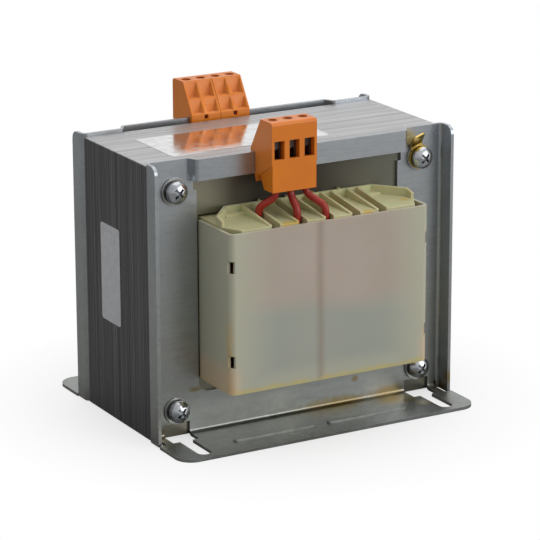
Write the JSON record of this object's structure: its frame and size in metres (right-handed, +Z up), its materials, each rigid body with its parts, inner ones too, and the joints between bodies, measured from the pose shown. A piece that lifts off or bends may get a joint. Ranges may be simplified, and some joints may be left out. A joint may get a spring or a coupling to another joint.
{
  "type": "laminated chassis transformer",
  "caption": "Chassis-mounting power transformer with an interleaved laminated core, bent sheet frames with slotted feet, and terminal blocks clipped on their top rails.",
  "frame": {"origin": "centre of the footprint of the two feet, on their underside", "axes": "+X along the feet to the right as seen from the front, -Y towards the front with the larger terminal block's wire entries, +Z up"},
  "size_m": [0.152, 0.128, 0.1425],
  "materials": {
    "core_steel": "varnished lamination edges",
    "galvanised_sheet": "hot-dip galvanised sheet",
    "former_nylon": "natural glass-filled nylon",
    "primary_wire": "enamelled copper wire",
    "layer_paper": "insulating paper",
    "secondary_wire": "enamelled copper wire",
    "wrap_tape": "varnished wrapping tape",
    "cover_nylon": "natural translucent nylon",
    "zinc_screws": "bright zinc plate",
    "sleeve_fibre": "fibre tube",
    "zinc_washers": "bright zinc plate",
    "spring_steel": "zinc plate",
    "zinc_nuts": "bright zinc plate",
    "tab_brass": "plain",
    "terminal_plastic": "moulded polyamide",
    "cage_steel": "zinc plate",
    "terminal_screw_steel": "zinc plate",
    "lead_sleeve": "dark red sleeve",
    "top_plate": "blank foil",
    "side_plate": "blank foil"
  },
  "bodies": {
    "root": {"core_e_laminations": "core_steel", "core_i_laminations": "core_steel", "front_frame": "galvanised_sheet", "rear_frame": "galvanised_sheet", "coil_former": "former_nylon", "primary_winding": "primary_wire", "layer_insulation": "layer_paper", "secondary_winding": "secondary_wire", "outer_wrap": "wrap_tape", "front_coil_cover": "cover_nylon", "rear_coil_cover": "cover_nylon", "clamp_screws": "zinc_screws", "screw_sleeves": "sleeve_fibre", "front_flat_washers": "zinc_washers", "rear_flat_washers": "zinc_washers", "front_spring_washers": "spring_steel", "rear_spring_washers": "spring_steel", "clamp_nuts": "zinc_nuts", "earth_tab": "tab_brass", "front_terminal_housing": "terminal_plastic", "rear_terminal_housing_left": "terminal_plastic", "rear_terminal_housing_right": "terminal_plastic", "front_terminal_cages": "cage_steel", "rear_terminal_cages": "cage_steel", "front_terminal_screws": "terminal_screw_steel", "rear_terminal_screws": "terminal_screw_steel", "front_lead_left": "lead_sleeve", "front_lead_middle": "lead_sleeve", "front_lead_right": "lead_sleeve", "rear_lead_1": "lead_sleeve", "rear_lead_2": "lead_sleeve", "rear_lead_3": "lead_sleeve", "rear_lead_4": "lead_sleeve", "top_label": "top_plate", "side_label": "side_plate"}
  },
  "joints": []
}
